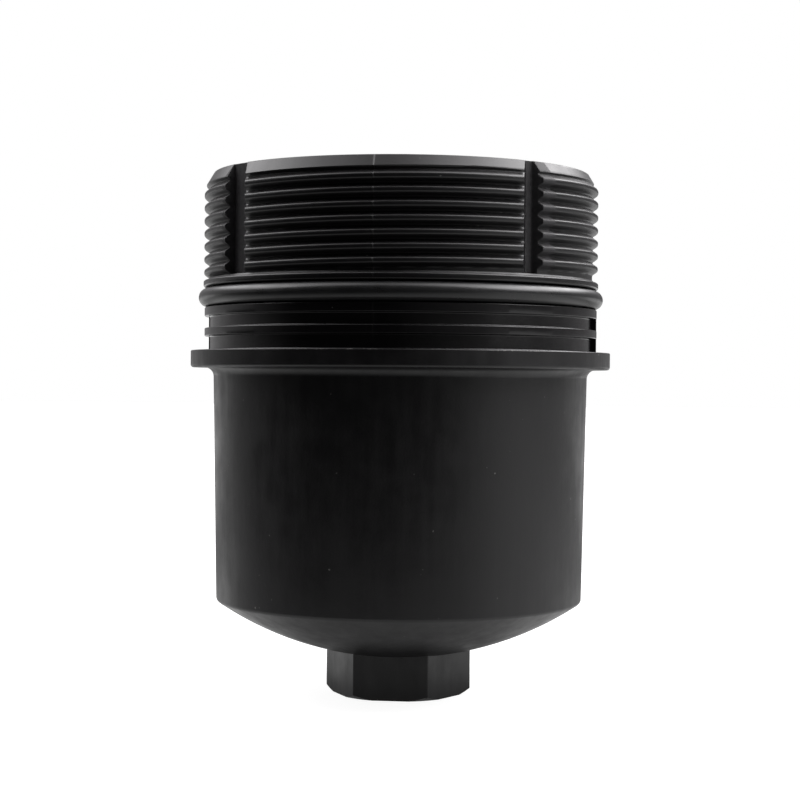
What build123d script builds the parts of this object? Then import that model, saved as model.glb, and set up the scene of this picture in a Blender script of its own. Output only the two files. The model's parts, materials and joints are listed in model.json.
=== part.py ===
"""Cartridge oil filter: screw bowl with thread and hexagon, bypass valve and pleated element.

Millimetres. The origin is the centre of the hexagon's end face and +Z runs up the axis to
the open rim, so the bowl stands on its hexagon. The mould's parting line lies on -Y and +Y.
"""
from build123d import *
from math import cos, pi, radians, sin, sqrt, tan
import os

# ---------------------------------------------------------------- driving dimensions
BOWL_HEIGHT = 147.4
HEX_ACROSS_FLATS = 36.0
HEX_HEIGHT = 12.7
HEX_EDGE_ROUND = 0.6
HEX_END_CHAMFER = 1.3

CROWN_RADIUS = 92.0          # outside of the shallow dome
CROWN_CENTRE_Z = 102.46
KNUCKLE_RADIUS = 6.0         # dome to cup
WALL = 3.4

CUP_RADIUS_LOW = 52.1        # cup radius at CUP_LOW_Z, drafted outwards to the flange
CUP_LOW_Z = 30.0
CUP_RADIUS_TOP = 53.3
FLANGE_BOTTOM_Z = 92.4
FLANGE_TOP_Z = 97.2
FLANGE_RADIUS = 59.75
FLANGE_FILLET = 2.5
FLANGE_EDGE_ROUND = 0.8

LAND_RADIUS = 55.9           # the two plain ribs that centre the bowl in its seat
GROOVE_RADIUS = 54.3
RIB_LOW_BOTTOM_Z = 101.2
RIB_LOW_TOP_Z = 103.5
RIB_HIGH_BOTTOM_Z = 106.8
RIB_HIGH_TOP_Z = 109.3
WEB_WIDTH = 2.6              # upright webs across the grooves on -X and +X

ORING_SECTION = 5.2          # stretched into its gland
ORING_GLAND_RADIUS = 52.38
ORING_Z = 112.15
GLAND_TOP_Z = 115.0

COLLAR_RADIUS = 56.25        # plain rib above the gland, where the thread runs out
COLLAR_TOP_Z = 117.0

THREAD_PITCH = 25.4 / 7      # right-hand, seven threads per inch
THREAD_CREST_RADIUS = 56.1
THREAD_ROOT_RADIUS = 54.5
THREAD_CREST_WIDTH = 0.8
THREAD_BASE_WIDTH = 2.64
THREAD_ARC = 88.4            # the slots leave one arc of thread in each quarter turn
THREAD_FIRST_Z = 118.19      # ridge centre in the middle of the lowest arc, which faces +Y
THREAD_FIRST_ANGLE = 90.0
THREAD_ARC_COUNT = 32

LEAD_IN_RADIUS = 53.4        # outer radius of the flat on top of the rim
LEAD_IN_ANGLE = 31.0         # degrees from the axis, trims the first turn of the thread

SLOT_X = 37.2                # walls of the front and back thread sectors, parallel to Y
SLOT_RIGHT_Y = 36.0          # where the +X sector's walls meet the slot floors, and their slope
SLOT_RIGHT_SLOPE = 18.0
SLOT_LEFT_Y = 33.2           # the -X sector is narrower, with radial walls
SLOT_LEFT_SLOPE = 40.0
SLOT_FLOOR_RADIUS = 52.9
SLOT_BOTTOM_Z = 117.5

BORE_RADIUS_TOP = 50.3       # inside of the bowl at the rim
BORE_RADIUS_LOW = 48.8       # inside of the bowl above the knuckle
BORE_CHAMFER = 1.2
PLATFORM_RADIUS = 24.5       # flat seat for the element spring and the turret flange
PLATFORM_Z = 19.0
SOCKET_RADIUS = 13.4         # socket in the hexagon for the turret's spigot
SOCKET_FLOOR_Z = 4.5
FLOOR_RIB_COUNT = 8
FLOOR_RIB_THICKNESS = 2.0
FLOOR_RIB_TOP_Z = 30.8

TURRET_RADIUS = 16.5
TURRET_BORE_RADIUS = 13.0
TURRET_TOP_Z = 58.0
TURRET_FLANGE_RADIUS = 18.5
TURRET_FLANGE_TOP_Z = 21.0
SPIGOT_RADIUS = 13.32
SPIGOT_BOTTOM_Z = 5.0
INLET_BOTTOM_Z = 22.5
INLET_TOP_Z = 31.0
INLET_WIDTH = 11.0
VALVE_SEAT_BOTTOM_Z = 34.0
VALVE_SEAT_TOP_Z = 36.5
VALVE_SEAT_BORE = 8.5
SEAT_LIP_TOP_Z = 37.0
SEAT_LIP_RADIUS = 9.5

TURRET_RING_Z = 47.0
TURRET_RING_SECTION = 2.1
TURRET_GROOVE_RADIUS = 14.35
TURRET_GROOVE_WIDTH = 2.6

POPPET_RADIUS = 11.5
POPPET_SEAL_RADIUS = 11.0
POPPET_SEAL_BORE = 6.0
POPPET_DISC_BOTTOM_Z = 38.5
POPPET_DISC_TOP_Z = 40.0
STEM_RADIUS = 3.0
STEM_TOP_Z = 58.5
RETAINER_BOTTOM_Z = 54.0
RETAINER_TOP_Z = 57.0
RETAINER_RADIUS = 12.95
GUIDE_BORE = 3.05
BYPASS_SPRING_RADIUS = 8.5   # centre of the wire
BYPASS_WIRE = 1.4
BYPASS_TURNS = 5.5

ELEMENT_SPRING_RADIUS = 21.5
ELEMENT_WIRE = 2.2
ELEMENT_SPRING_TURNS = 3.25
PLATE_BOTTOM_Z = 32.6
PLATE_THICKNESS = 1.5
PLATE_RADIUS = 30.0
PLATE_BORE = 16.6
PLATE_COLLAR_BOTTOM_Z = 29.4
CIRCLIP_BOTTOM_Z = 34.3
CIRCLIP_THICKNESS = 1.2
CIRCLIP_RADIUS = 17.5
CIRCLIP_GROOVE_RADIUS = 15.6
CIRCLIP_GAP = 6.0

ELEMENT_RADIUS = 43.5
ELEMENT_BOTTOM_Z = 34.2
CAP_THICKNESS = 2.0
CAP_RIM_HEIGHT = 5.0
CAP_RIM_THICKNESS = 1.2
LOWER_COUNTERBORE = 17.9
SEAL_COLLAR_BORE = 16.55
SEAL_COLLAR_RADIUS = 18.3
SEAL_COLLAR_BOTTOM_Z = 40.0
SEAL_COLLAR_TOP_Z = 53.0
UPPER_CAP_TOP_Z = 137.0
OUTLET_NECK_RADIUS = 18.3
OUTLET_NECK_BORE = 16.8
GROMMET_BORE = 14.0
GROMMET_RADIUS = 18.2
GROMMET_BOTTOM_Z = 130.0
GROMMET_TOP_Z = 139.4

POTTING_DEPTH = 2.5
TUBE_RADIUS = 20.0
TUBE_WALL = 0.8
TUBE_HOLE_RADIUS = 2.6
TUBE_HOLE_ROWS = 9
TUBE_HOLE_COLUMNS = 6        # each column is drilled right through, so it makes two rows of holes
TUBE_HOLE_PITCH = 8.6

PLEAT_COUNT = 60
PLEAT_OUTER_RADIUS = 41.2
PLEAT_INNER_RADIUS = 21.3
PAPER = 0.7
CLIP_STRIP = 0.35
CLIP_DEPTH = 7.0
CLIP_PLAY = 0.06
BAND_THICKNESS = 0.8
BAND_WIDTH = 2.4
BAND_COUNT = 3


# ---------------------------------------------------------------- helpers
def crown_height(radius, sphere_radius):
    """Height of the dome, a sphere about the crown centre, at a distance from the axis."""
    return CROWN_CENTRE_Z - sqrt(sphere_radius**2 - radius**2)


def turned(points):
    """A solid turned about the Z axis from a closed outline of (radius, height) points."""
    with BuildPart() as ring:
        with BuildSketch(Plane.XZ):
            with BuildLine():
                Polyline(*points, close=True)
            make_face()
        revolve(axis=Axis.Z)
    return ring.part


def washer(inner, outer, bottom, top):
    """Outline of a plain ring, for turned()."""
    return (inner, bottom), (outer, bottom), (outer, top), (inner, top)


def coil(radius, wire, bottom, top, turns):
    """A compression spring with both ends ground flat."""
    pitch = (top - bottom - wire * 0.4) / turns
    start = bottom + wire * 0.2
    with BuildPart() as spring:
        with BuildLine() as path:
            Helix(pitch=pitch, height=pitch * turns, radius=radius, center=(0, 0, start))
        with BuildSketch(Plane(origin=(radius, 0, start), x_dir=(1, 0, 0), z_dir=(0, 1, 0))):
            Circle(wire / 2)
        sweep(path=path.line, is_frenet=True)
        split(bisect_by=Plane.XY.offset(bottom), keep=Keep.TOP)
        split(bisect_by=Plane.XY.offset(top), keep=Keep.BOTTOM)
    return spring.part


def write(part, name):
    """Label a finished piece and write it under its node name."""
    part.label = name
    export_step(part, f"parts/{name}.step")


os.makedirs("parts", exist_ok=True)

# ---------------------------------------------------------------- bowl: outer shape
with BuildPart() as bowl_shell:
    with BuildSketch(Plane.XZ):
        with BuildLine():
            Line((0, BOWL_HEIGHT), (0, crown_height(0, CROWN_RADIUS)))
            ThreePointArc(
                (0, crown_height(0, CROWN_RADIUS)),
                (CUP_RADIUS_LOW / 2, crown_height(CUP_RADIUS_LOW / 2, CROWN_RADIUS)),
                (CUP_RADIUS_LOW, crown_height(CUP_RADIUS_LOW, CROWN_RADIUS)),
            )
            Polyline(
                (CUP_RADIUS_LOW, crown_height(CUP_RADIUS_LOW, CROWN_RADIUS)),
                (CUP_RADIUS_TOP, FLANGE_BOTTOM_Z),
                (FLANGE_RADIUS, FLANGE_BOTTOM_Z),
                (FLANGE_RADIUS, FLANGE_TOP_Z),
                (GROOVE_RADIUS, FLANGE_TOP_Z),
                (GROOVE_RADIUS, RIB_LOW_BOTTOM_Z),
                (LAND_RADIUS, RIB_LOW_BOTTOM_Z),
                (LAND_RADIUS, RIB_LOW_TOP_Z),
                (GROOVE_RADIUS, RIB_LOW_TOP_Z),
                (GROOVE_RADIUS, RIB_HIGH_BOTTOM_Z),
                (LAND_RADIUS, RIB_HIGH_BOTTOM_Z),
                (LAND_RADIUS, RIB_HIGH_TOP_Z),
                (ORING_GLAND_RADIUS, RIB_HIGH_TOP_Z),
                (ORING_GLAND_RADIUS, GLAND_TOP_Z),
                (COLLAR_RADIUS, GLAND_TOP_Z),
                (COLLAR_RADIUS, COLLAR_TOP_Z),
                (THREAD_ROOT_RADIUS, COLLAR_TOP_Z + 1.0),
                (THREAD_ROOT_RADIUS, BOWL_HEIGHT),
                (0, BOWL_HEIGHT),
            )
        outline = make_face()
        knuckle = outline.vertices().sort_by_distance(
            (CUP_RADIUS_LOW, crown_height(CUP_RADIUS_LOW, CROWN_RADIUS), 0)
        )[0]
        fillet(knuckle, KNUCKLE_RADIUS)
        under_flange = vertices().sort_by_distance((CUP_RADIUS_TOP, FLANGE_BOTTOM_Z, 0))[0]
        fillet(under_flange, FLANGE_FILLET)
        flange_edge = vertices().sort_by_distance((FLANGE_RADIUS, FLANGE_BOTTOM_Z, 0))[0]
        fillet(flange_edge, FLANGE_EDGE_ROUND)
    revolve(axis=Axis.Z)

# one arc of the thread ridge: a trapezoid swept along a stretch of the helix
arc_rise = THREAD_PITCH * THREAD_ARC / 360
with BuildPart() as thread_arc:
    with BuildLine() as thread_path:
        Helix(pitch=THREAD_PITCH, height=arc_rise, radius=THREAD_ROOT_RADIUS)
    with BuildSketch(Plane.XZ):
        with BuildLine():
            Polyline(
                (THREAD_ROOT_RADIUS - 1, -THREAD_BASE_WIDTH / 2),
                (THREAD_ROOT_RADIUS, -THREAD_BASE_WIDTH / 2),
                (THREAD_CREST_RADIUS, -THREAD_CREST_WIDTH / 2),
                (THREAD_CREST_RADIUS, THREAD_CREST_WIDTH / 2),
                (THREAD_ROOT_RADIUS, THREAD_BASE_WIDTH / 2),
                (THREAD_ROOT_RADIUS - 1, THREAD_BASE_WIDTH / 2),
                close=True,
            )
        make_face()
    sweep(path=thread_path.line, is_frenet=True)

# every quarter turn the next arc stands a quarter of the pitch higher
thread_places = []
for quarter in range(THREAD_ARC_COUNT):
    arc_bottom = THREAD_FIRST_Z + quarter * THREAD_PITCH / 4 - arc_rise / 2
    arc_turn = THREAD_FIRST_ANGLE + quarter * 90 - THREAD_ARC / 2
    thread_places.append(Location((0, 0, arc_bottom), (0, 0, arc_turn)))

# hexagon with rounded upright edges and a turned end chamfer, corners on -X and +X
with BuildPart() as hexagon:
    with BuildSketch():
        RegularPolygon(HEX_ACROSS_FLATS / 2, 6, major_radius=False)
        fillet(vertices(), HEX_EDGE_ROUND)
    extrude(amount=HEX_HEIGHT + 2)
    with BuildSketch(Plane.XZ):
        hex_corner = HEX_ACROSS_FLATS / sqrt(3)
        with BuildLine():
            Polyline(
                (0, 0),
                (hex_corner - HEX_END_CHAMFER * 1.6, 0),
                (hex_corner + 0.01, HEX_END_CHAMFER),
                (hex_corner + 0.01, HEX_HEIGHT + 2),
                (0, HEX_HEIGHT + 2),
                close=True,
            )
        make_face()
    revolve(axis=Axis.Z, mode=Mode.INTERSECT)

# what the lead-in cone takes off the rim and the first thread turn
LEAD_IN_REACH = THREAD_CREST_RADIUS + 1.5
lead_in_slope = tan(radians(LEAD_IN_ANGLE))
lead_in_cut = turned(
    [
        (LEAD_IN_RADIUS - lead_in_slope, BOWL_HEIGHT + 1),
        (LEAD_IN_REACH, BOWL_HEIGHT - (LEAD_IN_REACH - LEAD_IN_RADIUS) / lead_in_slope),
        (LEAD_IN_REACH + 2, BOWL_HEIGHT - (LEAD_IN_REACH - LEAD_IN_RADIUS) / lead_in_slope),
        (LEAD_IN_REACH + 2, BOWL_HEIGHT + 1),
    ]
)

# ---------------------------------------------------------------- bowl: cavity
with BuildPart() as cavity:
    inner_crown = CROWN_RADIUS - WALL
    with BuildSketch(Plane.XZ):
        with BuildLine():
            Polyline(
                (PLATFORM_RADIUS, crown_height(PLATFORM_RADIUS, inner_crown)),
                (PLATFORM_RADIUS, PLATFORM_Z),
                (SOCKET_RADIUS, PLATFORM_Z),
                (SOCKET_RADIUS, SOCKET_FLOOR_Z),
                (0, SOCKET_FLOOR_Z),
                (0, BOWL_HEIGHT + 1),
                (BORE_RADIUS_TOP + BORE_CHAMFER + 1, BOWL_HEIGHT + 1),
                (BORE_RADIUS_TOP, BOWL_HEIGHT - BORE_CHAMFER),
                (BORE_RADIUS_LOW, crown_height(BORE_RADIUS_LOW, inner_crown)),
            )
            middle = (PLATFORM_RADIUS + BORE_RADIUS_LOW) / 2
            ThreePointArc(
                (BORE_RADIUS_LOW, crown_height(BORE_RADIUS_LOW, inner_crown)),
                (middle, crown_height(middle, inner_crown)),
                (PLATFORM_RADIUS, crown_height(PLATFORM_RADIUS, inner_crown)),
            )
        make_face()
        inner_knuckle = vertices().sort_by_distance(
            (BORE_RADIUS_LOW, crown_height(BORE_RADIUS_LOW, inner_crown), 0)
        )[0]
        fillet(inner_knuckle, KNUCKLE_RADIUS - WALL)
    revolve(axis=Axis.Z)

# ---------------------------------------------------------------- bowl: assembled moulding
with BuildPart() as housing_bowl:
    add(bowl_shell.part)
    add(hexagon.part)
    with Locations(*thread_places):
        add(thread_arc.part)
    add(lead_in_cut, mode=Mode.SUBTRACT)
    # four slots through the thread, each with a flat floor between the walls of two sectors
    slot_reach = THREAD_CREST_RADIUS + 4
    slot_corner = SLOT_FLOOR_RADIUS * sqrt(2)
    slot_wall = 8.0
    sectors = ((1, SLOT_RIGHT_Y, SLOT_RIGHT_SLOPE), (-1, SLOT_LEFT_Y, SLOT_LEFT_SLOPE))
    with BuildSketch(Plane.XY.offset(SLOT_BOTTOM_Z)):
        for side, wall_y, slope in sectors:
            wall_x = slot_corner - wall_y
            far_x = wall_x + slot_wall * cos(radians(slope))
            far_y = wall_y + slot_wall * sin(radians(slope))
            for end in (1, -1):
                with BuildLine():
                    Polyline(
                        (side * SLOT_X, end * (slot_corner - SLOT_X)),
                        (side * wall_x, end * wall_y),
                        (side * far_x, end * far_y),
                        (side * slot_reach, end * slot_reach),
                        (side * SLOT_X, end * slot_reach),
                        close=True,
                    )
                make_face()
    extrude(amount=BOWL_HEIGHT - SLOT_BOTTOM_Z + 1, mode=Mode.SUBTRACT)
    # webs that tie the ribs together on the mould's two sides
    web_depth = LAND_RADIUS - GROOVE_RADIUS + 1
    for side in (1, -1):
        with BuildSketch(Plane.XY.offset(FLANGE_TOP_Z - 0.5)):
            with Locations((side * (LAND_RADIUS - 0.1 - web_depth / 2), 0)):
                Rectangle(web_depth, WEB_WIDTH)
        extrude(amount=RIB_HIGH_BOTTOM_Z - FLANGE_TOP_Z + 1)
    add(cavity.part, mode=Mode.SUBTRACT)
    # low ribs on the dome floor, from the platform to the knuckle
    rib_inner = PLATFORM_RADIUS - 1
    rib_outer = BORE_RADIUS_LOW - 0.5
    for index in range(FLOOR_RIB_COUNT):
        rib_plane = Plane.XZ.rotated((0, 0, index * 360 / FLOOR_RIB_COUNT))
        with BuildSketch(rib_plane):
            with BuildLine():
                Polyline(
                    (rib_inner, PLATFORM_Z - 3),
                    (rib_inner, PLATFORM_Z),
                    (rib_outer, FLOOR_RIB_TOP_Z),
                    (rib_outer, crown_height(rib_outer, inner_crown) - 0.4),
                    (rib_inner + 10, crown_height(rib_inner + 10, inner_crown) - 1),
                    close=True,
                )
            make_face()
        extrude(amount=FLOOR_RIB_THICKNESS / 2, both=True)
write(housing_bowl.part, "housing_bowl")

# ---------------------------------------------------------------- bowl O-ring
with BuildPart() as bowl_o_ring:
    with BuildSketch(Plane.XZ):
        with Locations((ORING_GLAND_RADIUS + 0.02 + ORING_SECTION / 2, ORING_Z)):
            Circle(ORING_SECTION / 2)
    revolve(axis=Axis.Z)
write(bowl_o_ring.part, "bowl_o_ring")

# ---------------------------------------------------------------- valve turret
with BuildPart() as valve_turret:
    with BuildSketch(Plane.XZ):
        with BuildLine():
            groove_low = TURRET_RING_Z - TURRET_GROOVE_WIDTH / 2
            groove_high = TURRET_RING_Z + TURRET_GROOVE_WIDTH / 2
            Polyline(
                (0, SPIGOT_BOTTOM_Z),
                (SPIGOT_RADIUS - 1, SPIGOT_BOTTOM_Z),
                (SPIGOT_RADIUS, SPIGOT_BOTTOM_Z + 1),
                (SPIGOT_RADIUS, PLATFORM_Z),
                (TURRET_FLANGE_RADIUS, PLATFORM_Z),
                (TURRET_FLANGE_RADIUS, TURRET_FLANGE_TOP_Z),
                (TURRET_RADIUS, TURRET_FLANGE_TOP_Z),
                (TURRET_RADIUS, CIRCLIP_BOTTOM_Z),
                (CIRCLIP_GROOVE_RADIUS, CIRCLIP_BOTTOM_Z),
                (CIRCLIP_GROOVE_RADIUS, CIRCLIP_BOTTOM_Z + CIRCLIP_THICKNESS),
                (TURRET_RADIUS, CIRCLIP_BOTTOM_Z + CIRCLIP_THICKNESS),
                (TURRET_RADIUS, groove_low),
                (TURRET_GROOVE_RADIUS, groove_low),
                (TURRET_GROOVE_RADIUS, groove_high),
                (TURRET_RADIUS, groove_high),
                (TURRET_RADIUS, TURRET_TOP_Z - 1),
                (TURRET_RADIUS - 1, TURRET_TOP_Z),
                (TURRET_BORE_RADIUS, TURRET_TOP_Z),
                (TURRET_BORE_RADIUS, VALVE_SEAT_TOP_Z),
                (SEAT_LIP_RADIUS, VALVE_SEAT_TOP_Z),
                (SEAT_LIP_RADIUS - 0.4, SEAT_LIP_TOP_Z),
                (VALVE_SEAT_BORE, SEAT_LIP_TOP_Z),
                (VALVE_SEAT_BORE, VALVE_SEAT_BOTTOM_Z),
                (TURRET_BORE_RADIUS - 2, VALVE_SEAT_BOTTOM_Z - 2),
                (TURRET_BORE_RADIUS - 2, SPIGOT_BOTTOM_Z + 3),
                (0, SPIGOT_BOTTOM_Z + 3),
                close=True,
            )
        make_face()
    revolve(axis=Axis.Z)
    # four inlet windows just above the flange
    for turn in (45, 135):
        with BuildSketch(Plane.XZ.rotated((0, 0, turn))):
            with Locations((0, (INLET_BOTTOM_Z + INLET_TOP_Z) / 2)):
                RectangleRounded(INLET_WIDTH, INLET_TOP_Z - INLET_BOTTOM_Z, 1.5)
        extrude(amount=TURRET_FLANGE_RADIUS + 1, both=True, mode=Mode.SUBTRACT)
    # groove that the retainer snaps into
    snap_groove = turned(washer(TURRET_BORE_RADIUS - 0.5, TURRET_BORE_RADIUS + 0.5,
                                RETAINER_BOTTOM_Z + 1.0, RETAINER_BOTTOM_Z + 2.0))
    add(snap_groove, mode=Mode.SUBTRACT)
write(valve_turret.part, "valve_turret")

# ---------------------------------------------------------------- turret O-ring
with BuildPart() as turret_o_ring:
    with BuildSketch(Plane.XZ):
        ring_centre = TURRET_GROOVE_RADIUS + 0.02 + TURRET_RING_SECTION / 2
        with Locations((ring_centre, TURRET_RING_Z)):
            Circle(TURRET_RING_SECTION / 2)
    revolve(axis=Axis.Z)
write(turret_o_ring.part, "turret_o_ring")

# ---------------------------------------------------------------- bypass valve
with BuildPart() as bypass_poppet:
    with BuildSketch(Plane.XZ):
        with BuildLine():
            Polyline(
                (0, SEAT_LIP_TOP_Z + 0.3),
                (POPPET_SEAL_BORE - 1.1, SEAT_LIP_TOP_Z + 0.3),
                (POPPET_SEAL_BORE - 0.1, SEAT_LIP_TOP_Z + 0.8),
                (POPPET_SEAL_BORE - 0.1, POPPET_DISC_BOTTOM_Z),
                (POPPET_RADIUS, POPPET_DISC_BOTTOM_Z),
                (POPPET_RADIUS, POPPET_DISC_TOP_Z),
                (BYPASS_SPRING_RADIUS - BYPASS_WIRE, POPPET_DISC_TOP_Z),
                (BYPASS_SPRING_RADIUS - BYPASS_WIRE - 0.6, POPPET_DISC_TOP_Z + 1.2),
                (STEM_RADIUS, POPPET_DISC_TOP_Z + 2.4),
                (STEM_RADIUS, STEM_TOP_Z - 0.6),
                (STEM_RADIUS - 0.6, STEM_TOP_Z),
                (0, STEM_TOP_Z),
                close=True,
            )
        make_face()
    revolve(axis=Axis.Z)
write(bypass_poppet.part, "bypass_poppet")

poppet_seal = turned(washer(POPPET_SEAL_BORE, POPPET_SEAL_RADIUS, SEAT_LIP_TOP_Z,
                            POPPET_DISC_BOTTOM_Z))
write(poppet_seal, "poppet_seal")

bypass_spring = coil(BYPASS_SPRING_RADIUS, BYPASS_WIRE, POPPET_DISC_TOP_Z, RETAINER_BOTTOM_Z,
                     BYPASS_TURNS)
write(bypass_spring, "bypass_spring")

with BuildPart() as valve_retainer:
    with BuildSketch(Plane.XY.offset(RETAINER_BOTTOM_Z)):
        Circle(RETAINER_RADIUS)
        Circle(GUIDE_BORE, mode=Mode.SUBTRACT)
    extrude(amount=RETAINER_TOP_Z - RETAINER_BOTTOM_Z)
    # snap bead, then two rings of kidney openings that let the oil through
    snap_bead = turned(washer(RETAINER_RADIUS - 0.5, RETAINER_RADIUS + 0.4,
                              RETAINER_BOTTOM_Z + 1.1, RETAINER_BOTTOM_Z + 1.9))
    add(snap_bead)
    with BuildSketch(Plane.XY.offset(RETAINER_BOTTOM_Z)):
        for quarter in range(4):
            SlotArc(CenterArc((0, 0), 11.0, quarter * 90 - 26, 52, mode=Mode.PRIVATE), 2.4)
            SlotArc(CenterArc((0, 0), 5.8, quarter * 90 + 25, 40, mode=Mode.PRIVATE), 1.8)
    extrude(amount=RETAINER_TOP_Z - RETAINER_BOTTOM_Z, mode=Mode.SUBTRACT)
write(valve_retainer.part, "valve_retainer")

# ---------------------------------------------------------------- spring seat under the element
element_spring = coil(ELEMENT_SPRING_RADIUS, ELEMENT_WIRE, PLATFORM_Z, PLATE_BOTTOM_Z,
                      ELEMENT_SPRING_TURNS)
write(element_spring, "element_spring")

with BuildPart() as spring_plate:
    with BuildSketch(Plane.XZ):
        plate_top = PLATE_BOTTOM_Z + PLATE_THICKNESS
        with BuildLine():
            Polyline(
                (PLATE_BORE, PLATE_COLLAR_BOTTOM_Z),
                (PLATE_BORE + PLATE_THICKNESS, PLATE_COLLAR_BOTTOM_Z),
                (PLATE_BORE + PLATE_THICKNESS, PLATE_BOTTOM_Z),
                (PLATE_RADIUS - 1, PLATE_BOTTOM_Z),
                (PLATE_RADIUS, PLATE_BOTTOM_Z - 1),
                (PLATE_RADIUS + 1, PLATE_BOTTOM_Z - 1),
                (PLATE_RADIUS + 1, PLATE_BOTTOM_Z + 0.2),
                (PLATE_RADIUS, plate_top),
                (PLATE_BORE + 0.8, plate_top),
                (PLATE_BORE, plate_top - 0.8),
                close=True,
            )
        make_face()
    revolve(axis=Axis.Z)
    # eight holes that let oil pass to the valve
    with BuildSketch(Plane.XY.offset(PLATE_BOTTOM_Z - 1)):
        with PolarLocations(26.4, 8):
            Circle(1.8)
    extrude(amount=PLATE_THICKNESS + 2, mode=Mode.SUBTRACT)
write(spring_plate.part, "spring_plate")

with BuildPart() as plate_circlip:
    with BuildSketch(Plane.XY.offset(CIRCLIP_BOTTOM_Z + 0.05)):
        Circle(CIRCLIP_RADIUS)
        Circle(CIRCLIP_GROOVE_RADIUS + 0.05, mode=Mode.SUBTRACT)
        with Locations((CIRCLIP_RADIUS, 0)):
            Rectangle(CIRCLIP_RADIUS, CIRCLIP_GAP, mode=Mode.SUBTRACT)
    extrude(amount=CIRCLIP_THICKNESS - 0.1)
write(plate_circlip.part, "plate_circlip")

# ---------------------------------------------------------------- element: end caps
lower_cap_top = ELEMENT_BOTTOM_Z + CAP_THICKNESS
rim_inner = ELEMENT_RADIUS - CAP_RIM_THICKNESS
with BuildPart() as lower_end_cap:
    with BuildSketch(Plane.XZ):
        with BuildLine():
            Polyline(
                (LOWER_COUNTERBORE, ELEMENT_BOTTOM_Z),
                (ELEMENT_RADIUS - 1, ELEMENT_BOTTOM_Z),
                (ELEMENT_RADIUS, ELEMENT_BOTTOM_Z + 1),
                (ELEMENT_RADIUS, ELEMENT_BOTTOM_Z + CAP_RIM_HEIGHT),
                (rim_inner, ELEMENT_BOTTOM_Z + CAP_RIM_HEIGHT),
                (rim_inner, lower_cap_top),
                (LOWER_COUNTERBORE + 1.1, lower_cap_top),
                (LOWER_COUNTERBORE + 1.1, SEAL_COLLAR_BOTTOM_Z - 0.2),
                (SEAL_COLLAR_RADIUS, SEAL_COLLAR_BOTTOM_Z + 1),
                (SEAL_COLLAR_RADIUS, SEAL_COLLAR_TOP_Z),
                (SEAL_COLLAR_BORE, SEAL_COLLAR_TOP_Z),
                (SEAL_COLLAR_BORE, SEAL_COLLAR_BOTTOM_Z + 1),
                (LOWER_COUNTERBORE, SEAL_COLLAR_BOTTOM_Z - 0.6),
                close=True,
            )
        make_face()
    revolve(axis=Axis.Z)
write(lower_end_cap.part, "lower_end_cap")

upper_cap_bottom = UPPER_CAP_TOP_Z - CAP_THICKNESS
with BuildPart() as upper_end_cap:
    with BuildSketch(Plane.XZ):
        with BuildLine():
            Polyline(
                (OUTLET_NECK_BORE, UPPER_CAP_TOP_Z),
                (ELEMENT_RADIUS - 1, UPPER_CAP_TOP_Z),
                (ELEMENT_RADIUS, UPPER_CAP_TOP_Z - 1),
                (ELEMENT_RADIUS, UPPER_CAP_TOP_Z - CAP_RIM_HEIGHT),
                (rim_inner, UPPER_CAP_TOP_Z - CAP_RIM_HEIGHT),
                (rim_inner, upper_cap_bottom),
                (OUTLET_NECK_RADIUS, upper_cap_bottom),
                (OUTLET_NECK_RADIUS, GROMMET_BOTTOM_Z + 2),
                (OUTLET_NECK_BORE, GROMMET_BOTTOM_Z + 2),
                close=True,
            )
        make_face()
    revolve(axis=Axis.Z)
write(upper_end_cap.part, "upper_end_cap")

# rubber grommet gripping the neck of the upper cap, with a soft lip inside
with BuildPart() as outlet_grommet:
    with BuildSketch(Plane.XZ):
        with BuildLine():
            Polyline(
                (GROMMET_BORE + 0.9, GROMMET_BOTTOM_Z),
                (GROMMET_RADIUS, GROMMET_BOTTOM_Z),
                (GROMMET_RADIUS, GROMMET_BOTTOM_Z + 1.95),
                (OUTLET_NECK_BORE - 0.02, GROMMET_BOTTOM_Z + 1.95),
                (OUTLET_NECK_BORE - 0.02, UPPER_CAP_TOP_Z + 0.02),
                (GROMMET_RADIUS + 2, UPPER_CAP_TOP_Z + 0.02),
                (GROMMET_RADIUS + 2, GROMMET_TOP_Z - 0.8),
                (GROMMET_RADIUS + 1.2, GROMMET_TOP_Z),
                (GROMMET_BORE + 1.2, GROMMET_TOP_Z),
                (GROMMET_BORE, GROMMET_TOP_Z - 1.2),
                (GROMMET_BORE, GROMMET_BOTTOM_Z + 0.9),
                close=True,
            )
        make_face()
    revolve(axis=Axis.Z)
write(outlet_grommet.part, "outlet_grommet")

# ---------------------------------------------------------------- element: potting, core, paper
media_bottom = lower_cap_top + POTTING_DEPTH
media_top = upper_cap_bottom - POTTING_DEPTH
potting_inner = TUBE_RADIUS + 0.1
lower_potting = turned(washer(potting_inner, rim_inner - 0.02, lower_cap_top, media_bottom))
write(lower_potting, "lower_potting")
upper_potting = turned(washer(potting_inner, rim_inner - 0.02, media_top, upper_cap_bottom))
write(upper_potting, "upper_potting")

with BuildPart() as centre_tube:
    with BuildSketch(Plane.XY.offset(lower_cap_top)):
        Circle(TUBE_RADIUS)
        Circle(TUBE_RADIUS - TUBE_WALL, mode=Mode.SUBTRACT)
    extrude(amount=upper_cap_bottom - lower_cap_top)
    middle_z = (media_bottom + media_top) / 2
    for column in range(TUBE_HOLE_COLUMNS):
        stagger = TUBE_HOLE_PITCH / 4 * (1 if column % 2 else -1)
        with BuildSketch(Plane.XZ.rotated((0, 0, column * 180 / TUBE_HOLE_COLUMNS))):
            with Locations((0, middle_z + stagger)):
                with GridLocations(1, TUBE_HOLE_PITCH, 1, TUBE_HOLE_ROWS):
                    Circle(TUBE_HOLE_RADIUS)
        extrude(amount=TUBE_RADIUS + 1, both=True, mode=Mode.SUBTRACT)
write(centre_tube.part, "centre_tube")


def polar(radius, angle):
    """Point at a radius and an angle in radians."""
    return radius * cos(angle), radius * sin(angle)


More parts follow.
